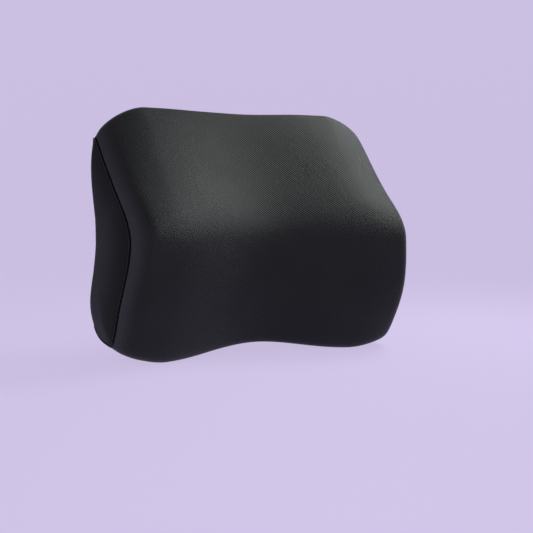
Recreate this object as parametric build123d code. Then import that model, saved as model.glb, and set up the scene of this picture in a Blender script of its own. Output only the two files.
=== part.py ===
"""Contoured headrest cushion for an office chair: foam, liner, zipped cover, strap and buckle.

Millimetres. +X is to the right seen from the front, the front faces -Y and +Z is up.
The origin is on the flat back of the cover, which lies in the plane Y = 0.
"""
from build123d import *
from math import pi, sin
import os

# ---- cushion form -------------------------------------------------------------------------
SEAM_X = 136.0            # half width at the end seams
END_WAIST = 6.0           # how far the end seams pull in at mid height
END_WAIST_Z = 95.0        # height at which the end seams are back at full width
END_CROWN = 9.0           # bulge of the end panels
FOAM_CROWN = 8.0          # bulge of the foam's ends
TOP = (113.0, 115.0, 87.0)        # height above the origin at the middle, lobe and end seam
BOTTOM = (97.0, 105.0, 92.0)      # drop below the origin at the same places
DEPTH = (83.0, 117.0, 80.0)       # thickness, back to front, at the same places
LOBE_X = 92.0             # where the outline is tallest
DEEP_X = 110.0            # where the side lobes are deepest
ROUND_HEIGHT = 1.8        # how full the height rounds off towards the seam
ROUND_DEPTH = 2.6         # how full the depth rounds off towards the seam
ROUND_END = 0.97          # share of the quarter round that is left at the seam

# Steering points of the closed cubic outline of a cross-section: forward, upward.
SECTION = [
    (0.00, 0.00), (0.00, 0.50), (0.18, 1.11), (0.22, 1.15), (0.77, 0.46),
    (1.38, 0.00), (0.81, -0.66), (0.74, -0.66), (0.07, -0.63), (0.00, -0.30),
]
BACK_CUT = 0.035          # share of the outline's depth that the flat back cuts off
TOP_SEARCH = (2.0, 0.0)       # stretches of the outline, inside to outside, where the
BOTTOM_SEARCH = (6.5, 9.0)    # flat back meets the curved top and bottom
ROWS = 9                  # steps from the middle of the cushion to an end seam
COLS = 22                 # steps around the front of a section
CORNER_COLS = 2           # steps left out where the end panels run to a point
CAP_ROWS = 6              # steps across an end panel
NUDGE = 0.01              # step for slopes of the form

# ---- layers -------------------------------------------------------------------------------
COVER = 2.2               # spacer-mesh cover
LINER = 0.8               # knitted liner
GAP = 0.3                 # between soft layers
LINER_INSET = COVER + GAP
FOAM_INSET = LINER_INSET + LINER + GAP
LINER_BACK = 4.2          # the liner's back sheet keeps clear of the zip slider
FOAM_BACK = LINER_BACK + LINER + GAP
SEAM_GAP = 0.5            # between an end panel and the rim it is sewn to
PANEL_GAP = 0.7           # between a back panel and the rim it is sewn to

# ---- zip ----------------------------------------------------------------------------------
ZIP_Z = -46.0
SLOT_HALF_X = 108.0       # slot in the back that the zip is sewn into
SLOT_HALF_Z = 8.0
TAPE = 0.9                # thickness of the zip tapes
CHAIN_HALF = 104.0        # half length of the chain
CHAIN_SLIT = 0.6          # half of the slit that the slider's neck runs in
CHAIN_WIDTH = 2.6
CHAIN_TOP = 0.7
STOP_LENGTH = 3.0
STOP_HEIGHT = 0.9
RUN = 0.3                 # running gap of the small moving pieces
SLIDER_X = 95.0           # slider with the zip closed
SLIDER_HALF = 5.5
SLIDER_HALF_Z = 4.4
PLATE = 1.0
NECK_HALF = 1.8
EYE_R = 2.0               # eye of the pull
EYE_HALF_Z = 2.0
EAR = 1.0                 # thickness of the slider's ears
PIN_R = 0.9
PIN_FIT = 0.08
PULL_LENGTH = 24.0
PULL_HALF_Z = 3.4
PULL_THICK = 1.6

# ---- strap --------------------------------------------------------------------------------
STRAP_Z = 10.0
STRAP_HALF_Z = 19.0
WEB = 1.6                 # webbing thickness
LAYER = 1.8               # from one webbing layer to the next
STRAP_Y = 9.9             # middle of the main layer behind the flat back
ROOT_X = 129.6            # where the webbing leaves the end seams
ROOT_Y = 0.1
BEND = 7.5                # radius where the strap turns across the back
FOLD = 1.6                # radius around the buckle's bars
HEM_FOLD = 0.85
LOOP_END = -58.0          # end of the loop sewn around the female half's bar
TAIL_END = 105.0          # fold of the tail's hem
HEM = 12.0
TACK = 2.0                # bartack width
TACK_HEIGHT = 0.4

# ---- buckle -------------------------------------------------------------------------------
BUCKLE_Y = 12.6           # middle of the buckle
BUCKLE_HALF_Y = 5.0
BUCKLE_HALF_Z = 25.0
CORNER = 3.0
WALL = 2.0
SIDE_WALL = 3.0
BAR = 4.5                 # width of the webbing bars
BAR_HALF_Y = 1.6
SLOT = 6.0                # width of the webbing slots
SLOT_HALF = 20.0
FEMALE_BACK = -34.0
MOUTH = 4.0
MALE_START = MOUTH + RUN
MALE_BASE_END = 15.0
MALE_HALF_Y = 3.4
MALE_END = MALE_BASE_END + 2 * (BAR + SLOT)
END_BAR_LOW = 12.9        # the end bar stands above both webbing layers
END_BAR_HIGH = 16.4
TONGUE_END = -18.0
TONGUE_HALF_Z = 5.0
WINDOW = (-12.0, 0.0)     # side windows for the latch shoulders, along X
ARM_X = 10.0              # latch arm pivots
ARM_Z = 15.0
ARM_HALF_Y = 2.4
KNUCKLE_R = 2.2
SHANK_HALF = 1.5
SWING = 3.2               # room in the male half for the shank to swing

# ---- keeper and label ---------------------------------------------------------------------
KEEPER_X = 82.0
KEEPER_HALF = 5.0
KEEPER_WALL = 1.6
KEEPER_GAP = 0.4
LABEL_X = 95.0
LABEL_HALF = 11.0
LABEL_TOP = -62.5
LABEL_LENGTH = 28.0
LABEL_THICK = 0.6


# ---- the form of the cushion --------------------------------------------------------------
def ease(t):
    t = min(max(t, 0.0), 1.0)
    return t * t * (3.0 - 2.0 * t)


def quarter_round(t, power):
    return 1.0 - (1.0 - t ** power) ** (1.0 / power)


def along(s, sizes, lobe_x, power):
    """A size at distance s from the middle: it swells to the lobe, then rounds off to the seam."""
    middle, lobe, end = sizes
    if s < lobe_x:
        return middle + (lobe - middle) * ease(s / lobe_x)
    share = ROUND_END * (s - lobe_x) / (SEAM_X - lobe_x)
    return lobe - (lobe - end) * quarter_round(share, power) / quarter_round(ROUND_END, power)


def waist(z):
    """Share of the full width that is left at height z."""
    return 1.0 - END_WAIST / SEAM_X * (1.0 - ease(abs(z) / END_WAIST_Z))


def outline(u):
    """A point of the closed cubic outline that SECTION steers."""
    k = int(u)
    t = u - k
    weights = ((1 - t) ** 3, 3 * t ** 3 - 6 * t ** 2 + 4, -3 * t ** 3 + 3 * t ** 2 + 3 * t + 1, t ** 3)
    points = [SECTION[(k + j) % len(SECTION)] for j in range(4)]
    return tuple(sum(w * p[axis] for w, p in zip(weights, points)) / 6.0 for axis in (0, 1))


def outline_limits():
    """Nearest, farthest, highest and lowest values of the outline."""
    fine = [outline(k / 20.0) for k in range(20 * len(SECTION))]
    depths = [p[0] for p in fine]
    heights = [p[1] for p in fine]
    return min(depths), max(depths), max(heights), -min(heights)


NEAR, FAR, HIGH, LOW = outline_limits()


def unit_point(u):
    """The outline scaled to depth 0..1 from the flat back and height -1..1."""
    depth, height = outline(u)
    depth = (depth - NEAR) / (FAR - NEAR)
    return (depth - BACK_CUT) / (1.0 - BACK_CUT), height / (HIGH if height > 0 else LOW)


def back_crossing(search):
    """Where the outline meets the flat back, between a value inside and one outside."""
    inside, outside = search
    for _ in range(30):
        middle = (inside + outside) / 2.0
        if unit_point(middle)[0] < 0.0:
            outside = middle
        else:
            inside = middle
    return inside


SPAN = (back_crossing(TOP_SEARCH), back_crossing(BOTTOM_SEARCH))


def skin_point(s, u):
    """A point of the outer skin at distance s from the middle, measured along the lobes."""
    depth, height = unit_point(u)
    z = height * along(abs(s), TOP if height > 0 else BOTTOM, LOBE_X, ROUND_HEIGHT)
    return Vector(s * waist(z), -depth * along(abs(s), DEPTH, DEEP_X, ROUND_DEPTH), z)


def inset_point(s, u, inset):
    """The skin point moved into the cushion, square to its cross-section and towards the middle."""
    point = skin_point(s, u)
    step = skin_point(s, u + NUDGE) - skin_point(s, u - NUDGE)
    moved = point + Vector(0, -step.Z, step.Y).normalized() * inset
    return Vector(moved.X * (1.0 - inset / SEAM_X), moved.Y, moved.Z)


def front_grid(inset):
    """Rows of points from the left seam to the right one, each over the front of the cushion."""
    first, last = SPAN
    return [[inset_point(SEAM_X * sin(pi / 2 * row / ROWS), first + (last - first) * col / COLS, inset)
             for col in range(COLS + 1)] for row in range(-ROWS, ROWS + 1)]


def cap_grid(row, back_row, side, height, power):
    """A crowned sheet from the front edge of an end, row, to its straight back edge."""
    grid = []
    for k in range(CAP_ROWS + 1):
        t = k / CAP_ROWS
        line = []
        for col, (front, back) in enumerate(zip(row, back_row)):
            v = col / (len(row) - 1)
            crown = height * (16.0 * t * (1.0 - t) * v * (1.0 - v)) ** power
            line.append(front * (1.0 - t) + back * t + Vector(side * crown, 0, 0))
        grid.append(line)
    return grid


def back_row_of(row, y, top, bottom):
    """As many points as the row has, on the straight back edge between two heights."""
    line = []
    for col in range(len(row)):
        z = top + (bottom - top) * col / (len(row) - 1)
        line.append(Vector(row[0].X * waist(z) / waist(row[0].Z), y, z))
    return line


# ---- solids from grids --------------------------------------------------------------------
def add_triangle(faces, a, b, c):
    if (b - a).cross(c - a).length > 1e-4:
        faces.append(Face(Wire.make_polygon([a, b, c])))


def grid_faces(grid):
    faces = []
    for row, after in zip(grid, grid[1:]):
        for k in range(len(row) - 1):
            add_triangle(faces, row[k], row[k + 1], after[k + 1])
            add_triangle(faces, row[k], after[k + 1], after[k])
    return faces


def closed_solid(grids):
    """One solid from grids of points that share their edges."""
    faces = [face for grid in grids for face in grid_faces(grid)]
    solid = Solid(Shell(faces))
    return solid if solid.volume > 0 else Solid(Shell(faces[::-1])).fix()


def sheet(outer, inner):
    """A sheet of fabric between an outer and an inner grid, with its four rims."""
    rims = [
        [outer[0], inner[0]],
        [outer[-1], inner[-1]],
        [[row[0] for row in outer], [row[0] for row in inner]],
        [[row[-1] for row in outer], [row[-1] for row in inner]],
    ]
    return closed_solid([outer, inner, *rims])


# ---- soft pieces --------------------------------------------------------------------------
def wrap(inset, thickness):
    """Fabric over the top, front and underside."""
    return sheet(front_grid(inset), front_grid(inset + thickness))


def end_edges(inset, thickness, back, side):
    """Front and back edge of an end panel that lies inside the wrap's rim."""
    rim = front_grid(inset + thickness)[-1]
    front_edge = []
    for k in range(CORNER_COLS, COLS + 1 - CORNER_COLS):
        step = rim[k + 1] - rim[k - 1]
        point = rim[k] + Vector(0, -step.Z, step.Y).normalized() * SEAM_GAP
        front_edge.append(Vector(side * (SEAM_X * waist(point.Z) - inset), point.Y, point.Z))
    return front_edge, back_row_of(front_edge, back, rim[0].Z - SEAM_GAP, rim[-1].Z + SEAM_GAP)


def end_sheet(inset, thickness, back, side):
    """Crowned end panel."""
    outer = cap_grid(*end_edges(inset, thickness, back, side), side, END_CROWN, 1.0)
    shift = Vector(-side * thickness, 0, 0)
    return sheet(outer, [[point + shift for point in row] for row in outer])


def foam():
    front = front_grid(FOAM_INSET)
    back = []
    for row in front:
        row[0].Y = -FOAM_BACK
        row[-1].Y = -FOAM_BACK
        line = back_row_of(row, -FOAM_BACK, row[0].Z, row[-1].Z)
        back.append([row[0], *line[1:-1], row[-1]])
    left = cap_grid(front[0], back[0], -1, FOAM_CROWN, 2.0)
    right = cap_grid(front[-1], back[-1], 1, FOAM_CROWN, 2.0)
    return closed_solid([front, back, left, right])


def back_outline(end_depth):
    """Outline of the flat back inside the wrap and end panels that reach in by end_depth."""
    grid = front_grid(0.0)
    right = [(p.X - end_depth - PANEL_GAP, p.Z) for p in end_edges(0.0, COVER, 0.0, 1)[1]]
    limit = right[0][0]
    top = [(row[0].X, row[0].Z - PANEL_GAP) for row in grid if abs(row[0].X) < limit]
    bottom = [(row[-1].X, row[-1].Z + PANEL_GAP) for row in grid if abs(row[-1].X) < limit]
    left = [(-x, z) for x, z in right]
    return top + right[1:-1] + bottom[::-1] + left[-2:0:-1]


def back_plate(front, back, end_depth):
    """Flat plate with the back's outline between two depths."""
    points = [Vector(x, back, z) for x, z in back_outline(end_depth)]
    return extrude(Face(Wire.make_polygon(points)), back - front, dir=(0, -1, 0))


def block(x, y, z):
    """Box from its limits along the three axes."""
    size = [high - low for low, high in (x, y, z)]
    middle = [(high + low) / 2.0 for low, high in (x, y, z)]
    return Pos(*middle) * Box(*size)


def back_panels():
    """Upper and lower back panels, with half of the zip's slot in each."""
    plate = back_plate(-COVER, 0.0, COVER)
    slot = block((-SLOT_HALF_X, SLOT_HALF_X), (-COVER, 0), (ZIP_Z - SLOT_HALF_Z, ZIP_Z + SLOT_HALF_Z))
    wide = (-SEAM_X, SEAM_X)
    above = block(wide, (-COVER, 0), (ZIP_Z + GAP / 2, TOP[1]))
    below = block(wide, (-COVER, 0), (-BOTTOM[1], ZIP_Z - GAP / 2))
    return (plate & above) - slot, (plate & below) - slot


# ---- zip ----------------------------------------------------------------------------------
def zip_tape(side):
    inner, outer = side * CHAIN_SLIT, side * SLOT_HALF_Z
    z = sorted((ZIP_Z + inner, ZIP_Z + outer))
    return block((-SLOT_HALF_X, SLOT_HALF_X), (-COVER, -COVER + TAPE), z)


def zip_chain(side):
    z = sorted((ZIP_Z + side * CHAIN_SLIT, ZIP_Z + side * (CHAIN_SLIT + CHAIN_WIDTH)))
    bead = block((-CHAIN_HALF, CHAIN_HALF), (-COVER + TAPE, CHAIN_TOP), z)
    top_edges = bead.edges().filter_by(Axis.X).sort_by(Axis.Y)[-2:]
    return chamfer(top_edges, 0.5)


def zip_slider():
    top = CHAIN_TOP + RUN
    half_chain = CHAIN_SLIT + CHAIN_WIDTH + RUN
    x = (SLIDER_X - SLIDER_HALF, SLIDER_X + SLIDER_HALF)
    wide = (ZIP_Z - SLIDER_HALF_Z, ZIP_Z + SLIDER_HALF_Z)
    body = block(x, (top, top + PLATE), wide)
    body += block(x, (-COVER - RUN - PLATE, -COVER - RUN), wide)
    neck = CHAIN_SLIT - RUN
    body += block((SLIDER_X - NECK_HALF, SLIDER_X + NECK_HALF), (-COVER - RUN - PLATE, top + PLATE),
                  (ZIP_Z - neck, ZIP_Z + neck))
    for side in (-1, 1):
        z = sorted((ZIP_Z + side * half_chain, ZIP_Z + side * SLIDER_HALF_Z))
        body += block(x, (-COVER + TAPE + RUN, top), z)
        z = sorted((ZIP_Z + side * (EYE_HALF_Z + RUN), ZIP_Z + side * (EYE_HALF_Z + RUN + EAR)))
        body += block((SLIDER_X - EYE_R, SLIDER_X + EYE_R), (top + PLATE, pivot_y() + PIN_R + PLATE), z)
    pin = Cylinder(PIN_R, 2 * (EYE_HALF_Z + RUN + EAR))
    return body + Pos(SLIDER_X, pivot_y(), ZIP_Z) * pin


def pivot_y():
    """Height of the pull's pin above the flat back."""
    return CHAIN_TOP + RUN + PLATE + EYE_R + RUN


def zip_pull():
    """Eye and tab, lying along the closed chain."""
    eye = Cylinder(EYE_R, 2 * EYE_HALF_Z)
    neck = block((-EYE_R - 4.0, 0), (-PULL_THICK / 2, PULL_THICK / 2), (-EYE_HALF_Z, EYE_HALF_Z))
    tab = block((-PULL_LENGTH, -EYE_R - 2.0), (-PULL_THICK / 2, PULL_THICK / 2), (-PULL_HALF_Z, PULL_HALF_Z))
    tab = fillet(tab.edges().filter_by(Axis.Y), 1.2)
    pull = eye + neck + tab - Cylinder(PIN_R + PIN_FIT, 2 * EYE_HALF_Z + 1.0)
    return Pos(SLIDER_X, pivot_y(), ZIP_Z) * pull


def zip_stops():
    """Two stops where the zip closes and one where it opens."""
    y = (CHAIN_TOP, CHAIN_TOP + STOP_HEIGHT)
    end = (CHAIN_HALF - STOP_LENGTH, CHAIN_HALF)
    outer = CHAIN_SLIT + CHAIN_WIDTH - 0.5
    upper = block(end, y, (ZIP_Z + CHAIN_SLIT, ZIP_Z + outer))
    lower = block(end, y, (ZIP_Z - outer, ZIP_Z - CHAIN_SLIT))
    start = block((-CHAIN_HALF, -CHAIN_HALF + STOP_LENGTH), y, (ZIP_Z - outer, ZIP_Z + outer))
    return Compound([upper, lower, start])


# ---- strap --------------------------------------------------------------------------------
def band(points, radii):
    """Webbing along a path seen from above, with a bend radius at each inner point."""
    face = trace(FilletPolyline(*points, radius=radii), WEB)
    return Pos(0, 0, STRAP_Z - STRAP_HALF_Z) * extrude(face, 2 * STRAP_HALF_Z)


def over_bar():
    """Middle of webbing that lies over a bar."""
    return BUCKLE_Y + BAR_HALF_Y + RUN + WEB / 2


def strap_left():
    """From the left end seam, around the female half's bar and back on itself."""
    up = FEMALE_BACK + BAR + RUN + WEB / 2
    points = [
        (-ROOT_X, ROOT_Y), (-ROOT_X, STRAP_Y), (up, STRAP_Y), (up, over_bar()),
        (FEMALE_BACK - 1.5, over_bar()), (FEMALE_BACK - 5.0, STRAP_Y + LAYER), (LOOP_END, STRAP_Y + LAYER),
    ]
    return band(points, [BEND, FOLD, FOLD, FOLD, FOLD])


def strap_right():
    """From the right end seam, through the male half's ladder, to the folded hem of the tail."""
    up = MALE_BASE_END + SLOT - RUN - WEB / 2
    down = MALE_BASE_END + SLOT + BAR + RUN + WEB / 2
    tail = STRAP_Y + LAYER
    points = [
        (ROOT_X, ROOT_Y), (ROOT_X, STRAP_Y), (up, STRAP_Y), (up, over_bar()), (down, over_bar()),
        (down, tail), (TAIL_END, tail), (TAIL_END, tail + LAYER), (TAIL_END - HEM, tail + LAYER),
    ]
    return band(points, [BEND, FOLD, FOLD, FOLD, FOLD, HEM_FOLD, HEM_FOLD])


def bartacks():
    """Raised stitching across the sewn loop and the hem."""
    z = (STRAP_Z - STRAP_HALF_Z + TACK, STRAP_Z + STRAP_HALF_Z - TACK)
    loop_top = STRAP_Y + LAYER + WEB / 2
    hem_top = loop_top + LAYER
    places = [
        (LOOP_END + TACK, loop_top), (LOOP_END + 14.0, loop_top), (TAIL_END - HEM + TACK, hem_top),
    ]
    return Compound([block((x, x + TACK), (y, y + TACK_HEIGHT), z) for x, y in places])


def keeper():
    low = STRAP_Y - WEB / 2 - KEEPER_GAP
    high = STRAP_Y + LAYER + WEB / 2 + KEEPER_GAP
    half = STRAP_HALF_Z + KEEPER_GAP
    x = (KEEPER_X - KEEPER_HALF, KEEPER_X + KEEPER_HALF)
    ring = block(x, (low - KEEPER_WALL, high + KEEPER_WALL),
                 (STRAP_Z - half - KEEPER_WALL, STRAP_Z + half + KEEPER_WALL))
    ring = fillet(ring.edges().filter_by(Axis.X), 1.2)
    return ring - block(x, (low, high), (STRAP_Z - half, STRAP_Z + half))


# ---- buckle -------------------------------------------------------------------------------
def around(half):
    """Limits along Z, centred on the strap."""
    return (STRAP_Z - half, STRAP_Z + half)


def thick(half):
    """Limits along Y, centred on the buckle."""
    return (BUCKLE_Y - half, BUCKLE_Y + half)


def buckle_female():
    body_start = FEMALE_BACK + BAR + SLOT
    shell = block((body_start, MOUTH), thick(BUCKLE_HALF_Y), around(BUCKLE_HALF_Z))
    shell = fillet(shell.edges().filter_by(Axis.X), CORNER)
    cavity_half = BUCKLE_HALF_Z - SIDE_WALL
    shell -= block((body_start + WALL, MOUTH), thick(BUCKLE_HALF_Y - WALL), around(cavity_half))
    shell -= block(WINDOW, thick(BUCKLE_HALF_Y - WALL), around(BUCKLE_HALF_Z))
    frame = block((FEMALE_BACK, body_start), thick(BAR_HALF_Y), around(BUCKLE_HALF_Z))
    corners = frame.edges().filter_by(Axis.Y).sort_by(Axis.X)[:2]
    frame = fillet(corners, CORNER)
    frame -= block((FEMALE_BACK + BAR, body_start), thick(BAR_HALF_Y), around(SLOT_HALF))
    return shell + frame


def buckle_male():
    base = block((MALE_START, MALE_BASE_END), thick(MALE_HALF_Y), around(BUCKLE_HALF_Z))
    base += block((TONGUE_END, MALE_START), thick(ARM_HALF_Y), around(TONGUE_HALF_Z))
    for side in (-1, 1):
        rail_z = sorted((STRAP_Z + side * SLOT_HALF, STRAP_Z + side * BUCKLE_HALF_Z))
        base += block((MALE_BASE_END, MALE_END), (BUCKLE_Y - BAR_HALF_Y, END_BAR_HIGH), rail_z)
        pocket = Cylinder(KNUCKLE_R + RUN, 2 * (ARM_HALF_Y + RUN), rotation=(90, 0, 0))
        base -= Pos(ARM_X, BUCKLE_Y, STRAP_Z + side * ARM_Z) * pocket
        swing = sorted((STRAP_Z + side * (ARM_Z - SWING), STRAP_Z + side * (ARM_Z + SHANK_HALF + RUN)))
        base -= block((MALE_START, ARM_X), thick(ARM_HALF_Y + RUN), swing)
    middle = MALE_BASE_END + SLOT
    base += block((middle, middle + BAR), thick(BAR_HALF_Y), around(SLOT_HALF))
    base += block((MALE_END - BAR, MALE_END), (END_BAR_LOW, END_BAR_HIGH), around(SLOT_HALF))
    return base


def latch_arm(side):
    """Arm with its knuckle at the root and a shoulder that stands in the side window."""
    head = [
        (ARM_X, -SHANK_HALF), (ARM_X, SHANK_HALF), (-0.6, SHANK_HALF), (-0.6, 9.2), (-4.0, 9.7),
        (-8.5, 9.2), (-11.2, 6.0), (-13.0, 2.5), (-13.0, -SHANK_HALF),
    ]
    z0 = STRAP_Z + side * ARM_Z
    points = [Vector(x, BUCKLE_Y + ARM_HALF_Y, z0 + side * z) for x, z in head]
    arm = extrude(Face(Wire.make_polygon(points)), 2 * ARM_HALF_Y, dir=(0, -1, 0))
    knuckle = Cylinder(KNUCKLE_R, 2 * ARM_HALF_Y, rotation=(90, 0, 0))
    return arm + Pos(ARM_X, BUCKLE_Y, z0) * knuckle


def care_label():
    """Blank ribbon hanging from the lower back seam."""
    return block((LABEL_X - LABEL_HALF, LABEL_X + LABEL_HALF), (GAP / 2, GAP / 2 + LABEL_THICK),
                 (LABEL_TOP - LABEL_LENGTH, LABEL_TOP))


# ---- write the pieces ---------------------------------------------------------------------
upper_panel, lower_panel = back_panels()
pieces = {
    "foam_core": foam(),
    "liner_wrap": wrap(LINER_INSET, LINER),
    "liner_back": back_plate(-LINER_BACK - LINER, -LINER_BACK, LINER_INSET + LINER),
    "front_panel": wrap(0.0, COVER),
    "back_panel_upper": upper_panel,
    "back_panel_lower": lower_panel,
    "zip_slider": zip_slider(),
    "zip_pull": zip_pull(),
    "zip_stops": zip_stops(),
    "strap_left": strap_left(),
    "strap_right": strap_right(),
    "strap_keeper": keeper(),
    "bartacks": bartacks(),
    "buckle_female": buckle_female(),
    "buckle_male": buckle_male(),
    "care_label": care_label(),
}
for name, side in (("left", -1), ("right", 1)):
    pieces["end_panel_" + name] = end_sheet(0.0, COVER, 0.0, side)
    pieces["liner_end_" + name] = end_sheet(LINER_INSET, LINER, -LINER_BACK, side)
for name, side in (("lower", -1), ("upper", 1)):
    pieces["zip_tape_" + name] = zip_tape(side)
    pieces["zip_chain_" + name] = zip_chain(side)
    pieces["latch_arm_" + name] = latch_arm(side)

os.makedirs("parts", exist_ok=True)
for name, shape in pieces.items():
    export_step(shape, "parts/" + name + ".step")
    print(name, len(shape.solids()), round(shape.volume / 1000.0, 3), "cm3")
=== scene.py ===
"""Looks of a contoured headrest cushion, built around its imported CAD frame.

Metres. +X is to the right seen from the front, the front faces -Y, +Z is up, and the flat back lies at Y = 0.
"""
import math

import bpy
import numpy as np
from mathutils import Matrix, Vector, noise


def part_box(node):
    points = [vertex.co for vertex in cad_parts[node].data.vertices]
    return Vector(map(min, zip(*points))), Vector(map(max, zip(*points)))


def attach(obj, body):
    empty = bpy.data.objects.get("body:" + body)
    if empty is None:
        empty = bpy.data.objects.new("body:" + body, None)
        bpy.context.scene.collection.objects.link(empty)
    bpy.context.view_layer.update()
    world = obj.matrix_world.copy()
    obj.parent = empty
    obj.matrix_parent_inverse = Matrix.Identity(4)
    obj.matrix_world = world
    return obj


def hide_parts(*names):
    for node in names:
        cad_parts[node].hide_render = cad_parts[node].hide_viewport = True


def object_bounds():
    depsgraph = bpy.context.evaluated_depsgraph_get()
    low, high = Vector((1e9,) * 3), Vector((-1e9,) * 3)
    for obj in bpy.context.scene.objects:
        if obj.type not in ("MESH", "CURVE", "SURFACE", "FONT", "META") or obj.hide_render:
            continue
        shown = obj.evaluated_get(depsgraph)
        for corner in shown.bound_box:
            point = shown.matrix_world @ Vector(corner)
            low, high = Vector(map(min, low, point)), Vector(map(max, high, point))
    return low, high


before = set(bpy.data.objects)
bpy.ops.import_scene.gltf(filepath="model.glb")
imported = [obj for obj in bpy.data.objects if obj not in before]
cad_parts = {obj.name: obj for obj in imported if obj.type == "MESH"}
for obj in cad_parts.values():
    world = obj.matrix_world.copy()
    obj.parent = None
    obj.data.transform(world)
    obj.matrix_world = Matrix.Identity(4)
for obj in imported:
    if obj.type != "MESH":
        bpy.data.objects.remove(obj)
cad_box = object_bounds()

MM = 0.001

# ---- the form of the cushion --------------------------------------------------------------
SEAM_X = 0.136                    # half width at the end seams
END_WAIST = 0.006                 # how far the end seams pull in at mid height
END_WAIST_UP = 0.105              # heights above and below the middle where the seams are at full width
END_WAIST_DOWN = 0.068
TOP = (0.1135, 0.1158, 0.0875)       # height above the origin at the middle, lobe and end seam
BOTTOM = (0.0975, 0.1062, 0.0920)    # drop below the origin at the same places
DEPTH = (0.083, 0.118, 0.088)     # thickness, back to front, at the same places
LOBE_X = 0.092                    # distance from the middle where the cushion is tallest
DEEP_X = 0.118                    # distance from the middle where it is deepest
ROUND_HEIGHT = 1.6                # powers of the rounding from the lobe out to the seam
ROUND_DEPTH = 2.7
ROUND_END = 0.97                  # share of that round which is used before the seam cuts it
SECTION = np.array([              # depth and height of the points that steer the section
    (0.00, 0.00), (0.00, 0.50), (0.18, 1.11), (0.22, 1.15), (0.77, 0.46),
    (1.38, 0.00), (0.81, -0.66), (0.74, -0.66), (0.07, -0.63), (0.00, -0.30),
])
BACK_CUT = 0.035                  # share of the section's depth that the flat back cuts off
ROLL = 0.008                      # how far the back's edge rolls forward at the end seams
ROLL_START = 0.120

# ---- mesh steps ---------------------------------------------------------------------------
ROW_STEPS = 110                   # from end seam to end seam
FRONT_STEPS = 112                 # round the section, from the back's top edge to its bottom edge
BACK_STEPS = 34                   # points that close the section behind the back panels

# ---- cover --------------------------------------------------------------------------------
COVER = 0.0022                    # thickness of the back panels' fabric
END_CROWN = 0.0088                # bulge of the end panels before they are inflated
SEAM_DIP = 0.0016                 # depth of the groove at the end seams
SEAM_WIDTH = 0.0030
PRESSURE = 4.0
TUCK = 2.4 * MM                   # how far in front of the flat back the cover is closed
TUCK_INSET = 1.6 * MM
PRESSURE_FRAMES = 20
SWELL_START = 0.0022              # the front cover starts this much smaller
SWELL_CAP = 0.0036                # caps of the swelling of the front cover and of the end panels
END_SWELL_CAP = 1.2 * MM
SWELL_SET = 0.42                  # share of the cap that every free point moves
SWELL_ADDED = 0.32                # further share, where the simulated cloth swells most
PINNED = 0.02                     # points less free than this are held in the simulation

# ---- zip ----------------------------------------------------------------------------------
ZIP_Z = -0.046
SLOT_HALF_Z = 0.008

# ---- strap --------------------------------------------------------------------------------
STRAP_Z = 0.010
STRAP_HALF_Z = 0.019
WEB = 0.0016                      # thickness of the webbing
STRAP_Y = 0.0099                  # middle of the layer nearest the back
LAYER = 0.0018                    # from one layer of webbing to the next
OVER_BAR = 0.0153                 # middle of webbing that lies over a buckle bar


def ease(t):
    t = np.clip(t, 0.0, 1.0)
    return t * t * (3.0 - 2.0 * t)


def quarter_round(t, power):
    return 1.0 - (1.0 - t ** power) ** (1.0 / power)


def along(s, sizes, lobe_x, power):
    """A size at distance s from the middle: it swells to the lobe, then rounds off to the seam."""
    middle, lobe, end = sizes
    inner = middle + (lobe - middle) * ease(s / lobe_x)
    share = ROUND_END * np.clip((s - lobe_x) / (SEAM_X - lobe_x), 0.0, 1.0)
    outer = lobe - (lobe - end) * quarter_round(share, power) / quarter_round(ROUND_END, power)
    return np.where(s < lobe_x, inner, outer)


def waist(z):
    reach = np.where(np.asarray(z) > 0, END_WAIST_UP, END_WAIST_DOWN)
    return 1.0 - END_WAIST / SEAM_X * (1.0 - ease(np.abs(z) / reach))


def outline(u):
    """Points of the closed cubic outline that SECTION steers."""
    u = np.asarray(u, float)
    k = np.floor(u).astype(int)
    t = (u - k)[..., None]
    weights = ((1 - t) ** 3, 3 * t ** 3 - 6 * t ** 2 + 4, -3 * t ** 3 + 3 * t ** 2 + 3 * t + 1, t ** 3)
    return sum(w * SECTION[(k + j) % len(SECTION)] for j, w in enumerate(weights)) / 6.0


FINE = outline(np.arange(20 * len(SECTION)) / 20.0)
NEAR, FAR = FINE[:, 0].min(), FINE[:, 0].max()
HIGH, LOW = FINE[:, 1].max(), -FINE[:, 1].min()


def unit_point(u):
    """The outline scaled to depth 0..1 from the flat back and height -1..1."""
    point = outline(u)
    depth = (point[..., 0] - NEAR) / (FAR - NEAR)
    height = point[..., 1]
    return (depth - BACK_CUT) / (1.0 - BACK_CUT), height / np.where(height > 0, HIGH, LOW)


def back_crossing(inside, outside):
    for _ in range(40):
        middle = (inside + outside) / 2.0
        if unit_point(middle)[0] < 0.0:
            outside = middle
        else:
            inside = middle
    return inside


def even_steps(first, last, count):
    """Values of u whose points are evenly spaced along the middle section."""
    u = np.linspace(first, last, 2000)
    depth, height = unit_point(u)
    points = np.stack([depth * DEPTH[0], height * TOP[0]], -1)
    run = np.concatenate([[0.0], np.cumsum(np.linalg.norm(np.diff(points, axis=0), axis=1))])
    return np.interp(np.linspace(0.0, run[-1], count + 1), run, u)


U = even_steps(back_crossing(2.0, 0.0), back_crossing(6.5, 9.0), FRONT_STEPS)
T = np.linspace(-1.0, 1.0, ROW_STEPS + 1)
S = SEAM_X * (0.35 * T + 0.65 * np.sin(math.pi / 2 * T))


def roll(s):
    """How far forward the edge of the back lies at distance s from the middle."""
    return ROLL * np.clip((np.abs(s) - ROLL_START) / (SEAM_X - ROLL_START), 0.0, 1.0) ** 2


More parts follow.
